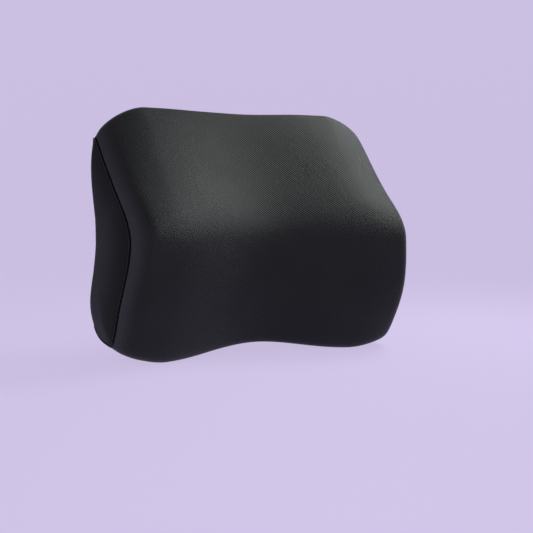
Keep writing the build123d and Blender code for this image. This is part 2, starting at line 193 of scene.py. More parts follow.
def skin(s, u):
    """Grid of points of the outer skin, one row for each s."""
    s = np.asarray(s, float)[:, None]
    depth, height = unit_point(u)
    depth, height = depth[None, :], height[None, :]
    tops = along(np.abs(s), TOP, LOBE_X, ROUND_HEIGHT)
    bottoms = along(np.abs(s), BOTTOM, LOBE_X, ROUND_HEIGHT)
    z = height * np.where(height > 0, tops, bottoms)
    y = np.minimum(-depth * along(np.abs(s), DEPTH, DEEP_X, ROUND_DEPTH), -roll(s))
    return np.stack([s * waist(z), y, z], -1)


def inward(grid):
    """Unit vectors in the plane of each section that point into the cushion."""
    step = np.gradient(grid, axis=1)
    normal = np.stack([np.zeros_like(step[..., 0]), -step[..., 2], step[..., 1]], -1)
    return normal / np.maximum(np.linalg.norm(normal, axis=-1, keepdims=True), 1e-9)


def closing_line(first, last):
    """Points from the last point of a section back to its first one, tucked in behind the back panel."""
    share = np.linspace(0.0, 1.0, BACK_STEPS)
    z = last[2] + (first[2] - last[2]) * share
    z = np.clip(z, last[2] + TUCK_INSET, first[2] - TUCK_INSET)
    x = first[0] / waist(first[2]) * waist(z)
    y = np.full(BACK_STEPS, max(first[1], last[1]) - TUCK)
    return np.stack([x, y, z], -1)


# ---- mesh helpers -------------------------------------------------------------------------
def mesh_object(name, points, faces):
    mesh = bpy.data.meshes.new(name)
    mesh.from_pydata([tuple(p) for p in points], [], faces)
    mesh.validate()
    for polygon in mesh.polygons:
        polygon.use_smooth = True
    obj = bpy.data.objects.new(name, mesh)
    bpy.context.scene.collection.objects.link(obj)
    return obj


def loft(name, rings, start, end):
    """Closed mesh through rings of as many points each, closed at both ends on a middle point."""
    count = len(rings[0])
    points = [start, *np.concatenate(rings), end]
    faces = [(0, 1 + (k + 1) % count, 1 + k) for k in range(count)]
    for r in range(len(rings) - 1):
        low, high = 1 + r * count, 1 + (r + 1) * count
        for k in range(count):
            after = (k + 1) % count
            faces.append((low + k, low + after, high + after, high + k))
    low, tip = 1 + (len(rings) - 1) * count, len(points) - 1
    faces += [(low + k, low + (k + 1) % count, tip) for k in range(count)]
    return mesh_object(name, points, faces)


def sheet_object(name, grid, thickness, round_edge):
    """Fabric of that thickness, centred on a grid of points, with rounded edges."""
    rows, cols = grid.shape[:2]
    faces = [(r * cols + c, r * cols + c + 1, (r + 1) * cols + c + 1, (r + 1) * cols + c)
             for r in range(rows - 1) for c in range(cols - 1)]
    obj = mesh_object(name, grid.reshape(-1, 3), faces)
    solid = obj.modifiers.new("thickness", "SOLIDIFY")
    solid.thickness = thickness
    solid.offset = 0.0
    bevel = obj.modifiers.new("edge", "BEVEL")
    bevel.width = round_edge
    bevel.segments = 2
    bevel.limit_method = "ANGLE"
    bevel.angle_limit = math.radians(50)
    return settle(obj)


def settle(obj):
    """Applies the modifiers of an object to its mesh."""
    graph = bpy.context.evaluated_depsgraph_get()
    graph.update()
    mesh = bpy.data.meshes.new_from_object(obj.evaluated_get(graph))
    obj.modifiers.clear()
    obj.data = mesh
    for polygon in mesh.polygons:
        polygon.use_smooth = True
    return obj


def mesh_coords(mesh):
    co = np.zeros(len(mesh.vertices) * 3)
    mesh.vertices.foreach_get("co", co)
    return co.reshape(-1, 3)


def coords(obj):
    return mesh_coords(obj.data)


def set_coords(obj, co):
    obj.data.vertices.foreach_set("co", co.ravel())
    obj.data.update()


def normals(obj):
    found = np.zeros(len(obj.data.vertices) * 3)
    obj.data.vertices.foreach_get("normal", found)
    return found.reshape(-1, 3)


def face_out(obj):
    """Turns the faces of a closed mesh outwards."""
    mesh = obj.data
    mesh.calc_loop_triangles()
    co = coords(obj)
    tri = np.array([t.vertices for t in mesh.loop_triangles])
    a, b, c = co[tri[:, 0]], co[tri[:, 1]], co[tri[:, 2]]
    if np.einsum("ij,ij->i", a, np.cross(b, c)).sum() < 0:
        mesh.flip_normals()
    return obj


def evened(obj, values, passes=60):
    """A value for each point of a mesh, averaged with its neighbours again and again."""
    edges = np.array([edge.vertices[:] for edge in obj.data.edges])
    ends, others = np.concatenate([edges[:, 0], edges[:, 1]]), np.concatenate([edges[:, 1], edges[:, 0]])
    count = np.maximum(np.bincount(ends, minlength=len(values)), 1)
    for _ in range(passes):
        values = 0.5 * values + 0.5 * np.bincount(ends, weights=values[others], minlength=len(values)) / count
    return values


def pressed_cloth(obj, pinned):
    """Where a cloth simulation under pressure takes the points of a closed mesh."""
    group = obj.vertex_groups.new(name="pin")
    for index in np.nonzero(pinned)[0]:
        group.add([int(index)], 1.0, "REPLACE")
    cloth = obj.modifiers.new("cloth", "CLOTH")
    settings = cloth.settings
    settings.use_pressure = True
    settings.uniform_pressure_force = PRESSURE
    settings.vertex_group_mass = "pin"
    settings.effector_weights.gravity = 0.0
    settings.quality = 5
    settings.tension_stiffness = 15.0
    settings.compression_stiffness = 15.0
    settings.shear_stiffness = 8.0
    settings.bending_stiffness = 0.6
    settings.air_damping = 2.0
    cloth.point_cache.frame_start = 1
    cloth.point_cache.frame_end = PRESSURE_FRAMES
    scene = bpy.context.scene
    for number in range(1, PRESSURE_FRAMES + 1):
        scene.frame_set(number)
    graph = bpy.context.evaluated_depsgraph_get()
    mesh = obj.evaluated_get(graph).to_mesh()
    co = mesh_coords(mesh)
    obj.modifiers.clear()
    obj.vertex_groups.clear()
    scene.frame_set(1)
    return co


def inflate(obj, free, cap):
    """Swells a closed mesh and subdivides it. free is how far each point may move, from 0 to 1 of the cap.

    The cover lies on foam and has no loose folds, so most of the swelling is a set share of the cap. The cloth
    simulation only adds a further share where its evened outward movement is greater.
    """
    start, out = coords(obj), normals(obj)
    moved = pressed_cloth(obj, free < PINNED)
    swell = evened(obj, np.clip(np.einsum("ij,ij->i", moved - start, out), 0.0, cap))
    share = SWELL_SET + SWELL_ADDED * (swell / max(swell.max(), 1e-9))
    set_coords(obj, start + out * (free * cap * share)[:, None])
    subdivide = obj.modifiers.new("subdivide", "SUBSURF")
    subdivide.levels = 1
    subdivide.render_levels = 1
    return settle(obj)


def ruffle(obj, height, scale, seed):
    """Soft unevenness of padded fabric."""
    co, out = coords(obj), normals(obj)
    offset = Vector((seed * 7.3, seed * 3.1, seed * 5.7))
    amount = np.array([noise.noise(Vector(p) * scale + offset) for p in co])
    set_coords(obj, co + out * (amount * height)[:, None])
    return obj


def sweep(name, runs, radius, sides=6):
    """Round threads or cords along lists of points, in one mesh."""
    points, faces = [], []
    for run in runs:
        run = np.asarray(run, float)
        along_run = np.gradient(run, axis=0)
        along_run /= np.maximum(np.linalg.norm(along_run, axis=1, keepdims=True), 1e-9)
        helper = np.array((0.0, 1.0, 0.0)) if abs(along_run[0][1]) < 0.8 else np.array((1.0, 0.0, 0.0))
        side = np.cross(along_run, helper)
        side /= np.maximum(np.linalg.norm(side, axis=1, keepdims=True), 1e-9)
        up = np.cross(side, along_run)
        base, count = len(points), len(run)
        for k in range(count):
            swell = 0.45 if k in (0, count - 1) else 1.0
            for j in range(sides):
                turn = 2 * math.pi * j / sides
                points.append(run[k] + radius * swell * (math.cos(turn) * side[k] + math.sin(turn) * up[k]))
        for k in range(count - 1):
            for j in range(sides):
                a, b = base + k * sides, base + (k + 1) * sides
                faces.append((a + j, a + (j + 1) % sides, b + (j + 1) % sides, b + j))
        faces.append(tuple(base + j for j in range(sides))[::-1])
        faces.append(tuple(base + (count - 1) * sides + j for j in range(sides)))
    return mesh_object(name, points, faces)


def stitch_runs(line, pitch, share, lift, out):
    """Separate stitches along a line: each dives into the fabric at both ends."""
    line = np.asarray(line, float)
    run = np.concatenate([[0.0], np.cumsum(np.linalg.norm(np.diff(line, axis=0), axis=1))])

    def at(distance):
        return np.array([np.interp(distance, run, line[:, axis]) for axis in range(3)])

    stitches = []
    for k in range(int(run[-1] / pitch)):
        start = k * pitch
        marks = [start + pitch * share * part for part in (0.0, 0.18, 0.5, 0.82, 1.0)]
        heights = (-0.6, 0.6, 1.0, 0.6, -0.6)
        stitches.append([at(m) + np.array(out) * lift * h for m, h in zip(marks, heights)])
    return stitches


# ---- materials ----------------------------------------------------------------------------
class Shader:
    """Short ways to add nodes to one material."""

    def __init__(self, name):
        self.material = bpy.data.materials.new(name)
        self.material.use_nodes = True
        self.tree = self.material.node_tree
        self.shader = self.tree.nodes["Principled BSDF"]
        place = self.tree.nodes.new("ShaderNodeTexCoord")
        self.point = place.outputs["Object"]
        self.normal = place.outputs["Normal"]

    def put(self, socket, value):
        if isinstance(value, (int, float, tuple)):
            socket.default_value = value
        else:
            self.tree.links.new(value, socket)

    def math(self, operation, a, b=0.0, clamp=False):
        node = self.tree.nodes.new("ShaderNodeMath")
        node.operation = operation
        node.use_clamp = clamp
        self.put(node.inputs[0], a)
        self.put(node.inputs[1], b)
        return node.outputs[0]

    def parts(self, vector):
        node = self.tree.nodes.new("ShaderNodeSeparateXYZ")
        self.put(node.inputs[0], vector)
        return node.outputs[0], node.outputs[1], node.outputs[2]

    def cloud(self, size, detail=3.0, roughness=0.55):
        """Noise with features of about that size in metres."""
        node = self.tree.nodes.new("ShaderNodeTexNoise")
        self.put(node.inputs["Vector"], self.point)
        node.inputs["Scale"].default_value = 1.0 / size
        node.inputs["Detail"].default_value = detail
        node.inputs["Roughness"].default_value = roughness
        return node.outputs["Fac"]

    def ramp(self, value, stops):
        node = self.tree.nodes.new("ShaderNodeValToRGB")
        self.put(node.inputs[0], value)
        elements = node.color_ramp.elements
        while len(elements) < len(stops):
            elements.new(0.5)
        for element, (place, colour) in zip(elements, stops):
            element.position = place
            element.color = (*colour, 1.0)
        return node.outputs[0]

    def span(self, value, low, high):
        """A value from 0 to 1 spread over low to high."""
        node = self.tree.nodes.new("ShaderNodeMapRange")
        self.put(node.inputs["Value"], value)
        node.inputs["To Min"].default_value = low
        node.inputs["To Max"].default_value = high
        return node.outputs[0]

    def wave(self, value, pitch):
        """Sine of a distance, from 0 to 1."""
        turned = self.math("SINE", self.math("MULTIPLY", value, 2 * math.pi / pitch))
        return self.math("ADD", self.math("MULTIPLY", turned, 0.5), 0.5)

    def on_planes(self, pattern):
        """A flat pattern laid on from the three directions and mixed by the way the surface faces."""
        x, y, z = self.parts(self.point)
        facing = [self.math("POWER", self.math("ABSOLUTE", n), 5.0) for n in self.parts(self.normal)]
        total = self.math("ADD", self.math("ADD", facing[0], facing[1]), facing[2])
        laid = [self.math("MULTIPLY", pattern(a, b), share)
                for (a, b), share in zip(((y, z), (x, z), (x, y)), facing)]
        return self.math("DIVIDE", self.math("ADD", self.math("ADD", laid[0], laid[1]), laid[2]), total)

    def bump(self, height, distance, strength=1.0, under=None):
        node = self.tree.nodes.new("ShaderNodeBump")
        node.inputs["Strength"].default_value = strength
        node.inputs["Distance"].default_value = distance
        self.put(node.inputs["Height"], height)
        if under is not None:
            self.put(node.inputs["Normal"], under)
        return node.outputs[0]

    def finish(self, colour, roughness, normal, **constants):
        self.put(self.shader.inputs["Base Color"], colour)
        self.put(self.shader.inputs["Roughness"], roughness)
        self.put(self.shader.inputs["Normal"], normal)
        for name, value in constants.items():
            self.shader.inputs[name.replace("_", " ")].default_value = value
        return self.material


def spacer_mesh():
    """Charcoal spacer mesh: diagonal ribs crossed by rows of small openings."""
    m = Shader("spacer_mesh")

    def pattern(a, b):
        rise, fall = m.math("ADD", a, b), m.math("SUBTRACT", a, b)
        ribs = m.wave(rise, 2.6 * MM)
        cells = m.wave(fall, 1.9 * MM)
        crossed = m.math("MULTIPLY", ribs, cells)
        return m.math("ADD", m.math("MULTIPLY", ribs, 0.45), m.math("MULTIPLY", crossed, 0.55))

    weave = m.on_planes(pattern)
    wear = m.cloud(45 * MM)
    fuzz = m.cloud(0.6 * MM, 2.0)
    tone = m.math("ADD", m.math("MULTIPLY", weave, 0.62), m.math("MULTIPLY", wear, 0.38))
    colour = m.ramp(tone, [(0.15, (0.0030, 0.0038, 0.0031)), (0.50, (0.0068, 0.0082, 0.0070)),
                           (0.85, (0.0135, 0.0158, 0.0136))])
    height = m.math("ADD", weave, m.math("MULTIPLY", fuzz, 0.25))
    normal = m.bump(height, 0.38 * MM, 0.55, m.bump(wear, 0.8 * MM, 0.4))
    return m.finish(colour, m.span(weave, 0.72, 0.56), normal, Sheen_Weight=0.13, Sheen_Roughness=0.38,
                    Sheen_Tint=(0.80, 0.90, 0.82, 1.0), Specular_IOR_Level=0.22)


def plain_knit(name, low, high, pitch, sheen):
    """Fine plain knit: columns of small loops."""
    m = Shader(name)

    def pattern(a, b):
        columns = m.wave(a, pitch)
        loops = m.wave(m.math("ADD", b, m.math("MULTIPLY", columns, pitch * 0.45)), pitch * 0.8)
        return m.math("ADD", m.math("MULTIPLY", columns, 0.5), m.math("MULTIPLY", loops, 0.5))

    weave = m.on_planes(pattern)
    wear = m.cloud(30 * MM)
    fuzz = m.cloud(0.5 * MM, 2.0)
    tone = m.math("ADD", m.math("MULTIPLY", weave, 0.6), m.math("MULTIPLY", wear, 0.4))
    colour = m.ramp(tone, [(0.2, low), (0.8, high)])
    height = m.math("ADD", weave, m.math("MULTIPLY", fuzz, 0.3))
    normal = m.bump(height, 0.22 * MM, 0.8, m.bump(wear, 0.6 * MM, 0.4))
    return m.finish(colour, m.span(weave, 0.86, 0.72), normal, Sheen_Weight=sheen, Sheen_Roughness=0.5,
                    Sheen_Tint=(0.85, 0.92, 0.85, 1.0), Specular_IOR_Level=0.16)


def webbing():
    """Flat woven webbing: herringbone ribs between two plain selvedges."""
    m = Shader("webbing")
    x, y, z = m.parts(m.point)
    across = m.math("SUBTRACT", z, STRAP_Z)
    zigzag = m.math("PINGPONG", m.math("ADD", across, STRAP_HALF_Z), STRAP_HALF_Z / 4)
    lengthwise = m.math("ADD", x, y)
    ribs = m.wave(m.math("ADD", lengthwise, zigzag), 1.5 * MM)
    yarns = m.wave(z, 0.9 * MM)
    weave = m.math("ADD", m.math("MULTIPLY", ribs, 0.65), m.math("MULTIPLY", yarns, 0.35))
    selvedge = m.math("GREATER_THAN", m.math("ABSOLUTE", across), 17.2 * MM)
    weave = m.math("ADD", weave, m.math("MULTIPLY", selvedge, 0.35))
    wear = m.cloud(14 * MM)
    tone = m.math("ADD", m.math("MULTIPLY", weave, 0.6), m.math("MULTIPLY", wear, 0.4))
    colour = m.ramp(tone, [(0.15, (0.004, 0.004, 0.0045)), (0.85, (0.026, 0.027, 0.029))])
    normal = m.bump(weave, 0.30 * MM, 0.9, m.bump(wear, 0.4 * MM, 0.5))
    return m.finish(colour, m.span(weave, 0.66, 0.50), normal, Sheen_Weight=0.18, Sheen_Roughness=0.4,
                    Specular_IOR_Level=0.45)


def thread(name, low, high):
    """Twisted sewing thread."""
    m = Shader(name)
    x, y, z = m.parts(m.point)
    twist = m.wave(m.math("ADD", m.math("ADD", x, y), z), 0.5 * MM)
    fuzz = m.cloud(1.2 * MM)
    colour = m.ramp(m.math("MULTIPLY", m.math("ADD", twist, fuzz), 0.5), [(0.2, low), (0.8, high)])
    return m.finish(colour, m.span(fuzz, 0.62, 0.48), m.bump(twist, 0.12 * MM, 0.8), Sheen_Weight=0.15,
                    Sheen_Roughness=0.4, Specular_IOR_Level=0.45)


def moulded_plastic():
    """Black acetal with a fine spark-eroded texture and slightly rubbed places."""
    m = Shader("moulded_plastic")
    grain = m.cloud(0.35 * MM, 2.0)
    rubbed = m.cloud(9 * MM, 4.0)
    scratch = m.tree.nodes.new("ShaderNodeTexNoise")
    stretch = m.tree.nodes.new("ShaderNodeMapping")
    stretch.inputs["Scale"].default_value = (60.0, 900.0, 900.0)
    m.put(stretch.inputs["Vector"], m.point)
    m.put(scratch.inputs["Vector"], stretch.outputs[0])
    scratch.inputs["Scale"].default_value = 1.0
    colour = m.ramp(rubbed, [(0.3, (0.0085, 0.0085, 0.0090)), (0.75, (0.019, 0.019, 0.020))])
    rough = m.math("ADD", m.span(rubbed, 0.30, 0.50), m.math("MULTIPLY", scratch.outputs["Fac"], 0.10))
    normal = m.bump(grain, 0.05 * MM, 0.7, m.bump(scratch.outputs["Fac"], 0.03 * MM, 0.4))
    return m.finish(colour, rough, normal, Specular_IOR_Level=0.5)


def enamelled_metal():
    """Zinc casting under black enamel, worn brighter in places."""
    m = Shader("enamelled_metal")
    cast = m.cloud(1.4 * MM, 3.0)
    worn = m.cloud(3.5 * MM, 5.0, 0.7)
    colour = m.ramp(worn, [(0.40, (0.012, 0.012, 0.013)), (0.62, (0.030, 0.030, 0.032)),
                           (0.80, (0.16, 0.155, 0.15))])
    return m.finish(colour, m.span(worn, 0.42, 0.26), m.bump(cast, 0.06 * MM, 0.6), Metallic=0.75,
                    Specular_IOR_Level=0.5)


def coil_plastic():
    """Glossy nylon of the zip's coil."""
    m = Shader("coil_plastic")
    dust = m.cloud(1.1 * MM, 3.0)
    colour = m.ramp(dust, [(0.3, (0.007, 0.007, 0.008)), (0.8, (0.020, 0.020, 0.022))])
    return m.finish(colour, m.span(dust, 0.30, 0.48), m.bump(dust, 0.05 * MM, 0.6), Specular_IOR_Level=0.55)


def satin_ribbon():
    """Blank woven label: pale satin with visible weft lines."""
    m = Shader("satin_ribbon")
    x, y, z = m.parts(m.point)
    weft = m.wave(z, 0.45 * MM)
    warp = m.wave(x, 0.60 * MM)
    weave = m.math("ADD", m.math("MULTIPLY", weft, 0.6), m.math("MULTIPLY", warp, 0.4))
    stain = m.cloud(8 * MM)
    tone = m.math("ADD", m.math("MULTIPLY", weave, 0.5), m.math("MULTIPLY", stain, 0.5))
    colour = m.ramp(tone, [(0.2, (0.42, 0.41, 0.39)), (0.8, (0.62, 0.61, 0.58))])
    return m.finish(colour, m.span(weave, 0.55, 0.40), m.bump(weave, 0.10 * MM, 0.7), Sheen_Weight=0.2,
                    Sheen_Roughness=0.3, Specular_IOR_Level=0.45)


MESH = spacer_mesh()
SIDE = plain_knit("side_knit", (0.0020, 0.0026, 0.0021), (0.0060, 0.0074, 0.0060), 1.2 * MM, 0.05)
BACK = plain_knit("back_knit", (0.0055, 0.0062, 0.0058), (0.0165, 0.0180, 0.0170), 1.5 * MM, 0.12)
TAPE = plain_knit("tape_weave", (0.0050, 0.0050, 0.0055), (0.0170, 0.0170, 0.0185), 0.9 * MM, 0.12)
# The seam folds are the end panels' own knit in colours about three times lighter: a painted highlight along the
# rolled edges.
FOLD_HIGHLIGHT_KNIT = plain_knit("seam_fold", (0.0060, 0.0070, 0.0062), (0.0180, 0.0200, 0.0185), 0.9 * MM, 0.12)
WEBBING = webbing()
THREAD = thread("sewing_thread", (0.010, 0.010, 0.011), (0.040, 0.041, 0.044))
PLASTIC = moulded_plastic()
METAL = enamelled_metal()
COIL = coil_plastic()
RIBBON = satin_ribbon()


def add(obj, material, replaced=()):
    """Gives a piece its material and its slot in the record, and hides what it stands for."""
    obj.data.materials.clear()
    obj.data.materials.append(material)
    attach(obj, "cushion")
    if replaced:
        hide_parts(*replaced)
    return obj


# ---- front of the cover -------------------------------------------------------------------
def tucked_ring(side, inset, shift):
    """The section at an end seam, smaller by inset and moved in by shift."""
    grid = skin([side * SEAM_X * 0.999, side * SEAM_X], U)
    row = (grid + inward(grid) * inset)[1]
    row[:, 0] -= side * shift
    return np.concatenate([row, closing_line(row[0], row[-1])])


def end_rings(side, shift, shares):
    """The middle point of an end, and rings from there out to its seam."""
    outer = tucked_ring(side, 1.0 * MM, shift)
    middle = outer.mean(0)
    rings = []
    for share in shares:
        ring = middle + (outer - middle) * share
        ring[:, 0] = side * (SEAM_X * waist(ring[:, 2]) - shift)
        rings.append(ring)
    tip = middle * (0, 1, 1) + np.array((side * (SEAM_X * waist(middle[2]) - shift), 0, 0))
    return tip, rings


def front_cover():
    """The cover from seam to seam, closed behind the back panels and at both ends, with a groove at each seam."""
    seam_reach, edge_reach = 0.030, 7.0      # metres from a seam, and steps from the back, over which it is held
    shares, end_shift = (0.25, 0.5, 0.75, 0.9, 0.97), 3.0 * MM
    rim_inset, rim_shift = 1.4 * MM, 1.6 * MM
    grid = skin(S, U)
    edge = np.minimum(np.arange(FRONT_STEPS + 1), np.arange(FRONT_STEPS + 1)[::-1])
    free = ease((SEAM_X - np.abs(S)) / seam_reach)[:, None] * ease(edge / edge_reach)[None, :]
    grid = grid + inward(grid) * (SWELL_START * free)[..., None]
    left_tip, left = end_rings(-1, end_shift, shares)
    right_tip, right = end_rings(1, end_shift, shares)
    rings = [*left, tucked_ring(-1, rim_inset, rim_shift)]
    rings += [np.concatenate([row, closing_line(row[0], row[-1])]) for row in grid]
    rings += [tucked_ring(1, rim_inset, rim_shift), *right[::-1]]
    obj = face_out(loft("cover_front", rings, left_tip, right_tip))
    whole = np.zeros((len(rings), FRONT_STEPS + 1 + BACK_STEPS))
    whole[len(left) + 1:len(left) + 1 + len(S), :FRONT_STEPS + 1] = free
    inflate(obj, np.concatenate([[0.0], whole.ravel(), [0.0]]), SWELL_CAP)
    ruffle(obj, 0.35 * MM, 28.0, 1)
    co, out = coords(obj), normals(obj)
    gap = SEAM_X * waist(co[:, 2]) - np.abs(co[:, 0])
    dip = SEAM_DIP * np.exp(-(np.clip(gap, 0.0, 1.0) / SEAM_WIDTH) ** 2)
    out[:, 0] *= 0.2
    set_coords(obj, co - out * dip[:, None])
    return obj


cover = add(front_cover(), MESH, replaced=(
    "front_panel", "foam_core", "liner_wrap", "liner_back", "liner_end_left", "liner_end_right"))


# ---- end panels ---------------------------------------------------------------------------
def end_panel(side, name):
    """A crowned panel inside the end seam, flatter towards the two corners where it meets the back."""
    inner_face, corner_reach = 2.4 * MM, 0.022
    rim = tucked_ring(side, 1.6 * MM, 0.0)
    middle = rim.mean(0)
    shares = np.array((1.0, 0.994, 0.985, 0.97, 0.945, 0.91, 0.86, 0.79, 0.70, 0.59, 0.46, 0.32, 0.17))
    corners = np.minimum(np.linalg.norm(rim[:, 1:] - rim[0, 1:], axis=1),
                         np.linalg.norm(rim[:, 1:] - rim[FRONT_STEPS, 1:], axis=1))
    flatter = 0.15 + 0.85 * ease(corners / corner_reach)

    def ring(share, rise):
        points = middle + (rim - middle) * share
        height = rise * (1.0 - (1.0 - flatter) * share ** 6) if rise > 0 else rise
        points[:, 0] = side * (SEAM_X * waist(points[:, 2]) + height)
        return points

    def lift(share):
        crown = END_CROWN * (1.0 - share ** 3.2)
        shoulder = 1.1 * MM * (1.0 - math.exp(-(1.0 - share) / 0.012))
        return crown + shoulder - 0.5 * MM

    inner = [ring(share, -inner_face) for share in (0.3, 0.6, 0.85, 0.975)]
    outer = [ring(share, lift(share)) for share in shares]
    inner_tip = np.array((side * (SEAM_X * waist(middle[2]) - inner_face), middle[1], middle[2]))
    outer_tip = np.array((side * (SEAM_X * waist(middle[2]) + lift(0.0)), middle[1], middle[2]))
    obj = face_out(loft(name, [*inner, *outer], inner_tip, outer_tip))
    free = np.zeros((len(inner) + len(outer), len(rim)))
    free[len(inner):] = ease((1.0 - shares) / 0.25)[:, None]
    inflate(obj, np.concatenate([[0.0], free.ravel(), [1.0]]), END_SWELL_CAP)
    return ruffle(obj, 0.3 * MM, 34.0, 3 + side)


def seam_fold(side, name):
    """The folded edge of the end panel, which stands up along the seam."""
    inset, proud, radius, ends = 1.25 * MM, 0.35 * MM, 0.50 * MM, 5
    grid = skin([side * SEAM_X * 0.999, side * SEAM_X], U)
    row = (grid + inward(grid) * inset)[1]
    row[:, 0] += side * proud
    return sweep(name, [row[ends:-ends]], radius, 8)


for name, side in (("left", -1), ("right", 1)):
    panel = add(end_panel(side, "cover_end_" + name), SIDE, replaced=("end_panel_" + name,))
    # The fold's lighter knit paints a highlight along the seam.
    add(seam_fold(side, "seam_fold_" + name), FOLD_HIGHLIGHT_KNIT)


# ---- back panels --------------------------------------------------------------------------
def back_limits(x):
    """Heights between which the flat back lies at distance x from the middle."""
    widened, margin = 1.02, 0.9 * MM
    s = np.clip(np.abs(x) * widened, 0.0, SEAM_X)
    edges = skin(s, U[[0, -1]])
    return edges[:, 0, 2] - margin, edges[:, 1, 2] + margin


def back_panel(name, upper):
    """The part of the flat back above or below the zip's slot, slightly puffed."""
    half, slot_end, slot_round = 0.1300, 0.1125, 0.004
    clearance, puffed, puff_reach = 0.15 * MM, 0.5 * MM, 0.012
    x = half * (0.55 * T + 0.45 * np.sin(math.pi / 2 * T))
    top, bottom = back_limits(x)
    opening = SLOT_HALF_Z * ease((slot_end - np.abs(x)) / slot_round) + clearance
    low, high = (ZIP_Z + opening, top) if upper else (bottom, ZIP_Z - opening)
    share = np.linspace(0.0, 1.0, 46 if upper else 14)
    if upper:
        share = 0.5 - 0.5 * np.cos(math.pi * (0.35 * share + 0.65 * ease(share)))
    share = (share - share.min()) / (share.max() - share.min())
    z = low[:, None] + (high - low)[:, None] * share[None, :]
    s = np.abs(x)[:, None] / waist(z)
    puff = puffed * ease((z - low[:, None]) / puff_reach) * ease((high[:, None] - z) / puff_reach)
    y = -roll(s) - COVER / 2 + puff - puffed
    grid = np.stack([np.broadcast_to(x[:, None], z.shape), y, z], -1)
    obj = sheet_object(name, grid, COVER * 0.9, 0.7 * MM)
    return ruffle(obj, 0.35 * MM, 30.0, 9 if upper else 11)


for name, upper in (("upper", True), ("lower", False)):
    panel = add(back_panel("cover_back_" + name, upper), BACK, replaced=("back_panel_" + name,))


def back_stitching():
    """Topstitching round the zip and along the edges of the back."""
    zip_half, zip_pitch, from_slot = 0.1085, 3.0 * MM, 2.2 * MM
    edge_half, edge_pitch, from_edge, sunk = 0.118, 3.4 * MM, 3.2 * MM, 0.15 * MM
    share, lift, out = 0.74, 0.35 * MM, (0.0, 1.0, 0.0)
    runs = []
    x = np.linspace(-zip_half, zip_half, 80)
    for side in (-1, 1):
        z = np.full_like(x, ZIP_Z + side * (SLOT_HALF_Z + from_slot))
        runs += stitch_runs(np.stack([x, np.zeros_like(x), z], -1), zip_pitch, share, lift, out)
    x = np.linspace(-edge_half, edge_half, 120)
    top, bottom = back_limits(x)
    for edge in (top - from_edge, bottom + from_edge):
        runs += stitch_runs(np.stack([x, np.full_like(x, -sunk), edge], -1), edge_pitch, share, lift, out)
    return sweep("back_stitching", runs, 0.28 * MM)


add(back_stitching(), THREAD)


# ---- zip ----------------------------------------------------------------------------------
def zip_tape(name):
    """Woven tape with a small ridge along the sewn edge."""
    low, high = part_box("zip_tape_" + name)
    x = np.linspace(low.x, high.x, 90)
    z = np.linspace(low.z, high.z, 10)
    gx, gz = np.meshgrid(x, z, indexing="ij")
    ridge = 0.12 * MM * np.cos((gz - low.z) / (high.z - low.z) * 4 * math.pi)
    gy = np.full_like(gx, (low.y + high.y) / 2) + ridge
    return sheet_object("tape_" + name, np.stack([gx, gy, gz], -1), 0.6 * MM, 0.2 * MM)


def zip_coil(name, side):
    """One side of the coil: a row of rounded teeth."""
    low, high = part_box("zip_chain_" + name)
    pitch, radius = 1.7 * MM, 0.62 * MM
    middle = (low.y + high.y) / 2 - 0.1 * MM
    shift = pitch / 2 if side > 0 else 0.0
    near, far = (low.z, high.z) if side > 0 else (high.z, low.z)
    teeth = []
    for k in range(int((high.x - low.x - 2 * radius) / pitch)):
        x = low.x + radius + shift + k * pitch
        reach = far - near
        teeth.append([(x, middle, near + reach * 0.06), (x, middle + 0.12 * MM, near + reach * 0.22),
                      (x, middle + 0.15 * MM, near + reach * 0.6), (x, middle, near + reach * 0.94)])
    return sweep("coil_" + name, teeth, radius, 8)


for name, side in (("lower", -1), ("upper", 1)):
    add(zip_tape(name), TAPE, replaced=("zip_tape_" + name,))
    add(zip_coil(name, side), COIL, replaced=("zip_chain_" + name,))


# ---- strap --------------------------------------------------------------------------------
def bent_line(points, radii, step=1.6 * MM):
    """Points along straight runs joined by bends of those radii."""
    points = [np.array(p, float) for p in points]
    line = [points[0]]
    for before, corner, after, radius in zip(points, points[1:], points[2:], radii):
        a, b = before - corner, after - corner
        a, b = a / np.linalg.norm(a), b / np.linalg.norm(b)
        half = math.acos(max(-1.0, min(1.0, float(a @ b)))) / 2
        reach = radius / math.tan(half)
        middle = corner + (a + b) / np.linalg.norm(a + b) * radius / math.sin(half)
        start, end = corner + a * reach - middle, corner + b * reach - middle
        sweep_angle = math.pi - 2 * half
        turn = math.copysign(sweep_angle, start[0] * end[1] - start[1] * end[0])
        count = max(6, int(radius * sweep_angle / step))
        for k in range(count + 1):
            angle = turn * k / count
            line.append(middle + (start[0] * math.cos(angle) - start[1] * math.sin(angle),
                                  start[0] * math.sin(angle) + start[1] * math.cos(angle)))
    line.append(points[-1])
    full = [line[0]]
    for point in line[1:]:
        gap = np.linalg.norm(point - full[-1])
        pieces = max(1, int(gap / (3.0 * MM)))
        start = full[-1]
        full += [start + (point - start) * (k + 1) / pieces for k in range(pieces) if gap > 1e-6]
    return np.array(full)


def strap(name, points, radii):
    """Webbing along bent runs, with its lengthwise edges closer together towards the selvedges."""
    closer, narrowed = 0.9, 0.985
    line = bent_line(points, radii)
    spread = np.sin(np.linspace(-1.0, 1.0, 19) * math.pi / 2 * closer)
    z = STRAP_Z + STRAP_HALF_Z * narrowed * spread / math.sin(math.pi / 2 * closer)
    grid = np.zeros((len(line), len(z), 3))
    grid[..., :2] = line[:, None, :]
    grid[..., 2] = z[None, :]
    return sheet_object(name, grid, WEB * 0.92, 0.45 * MM)


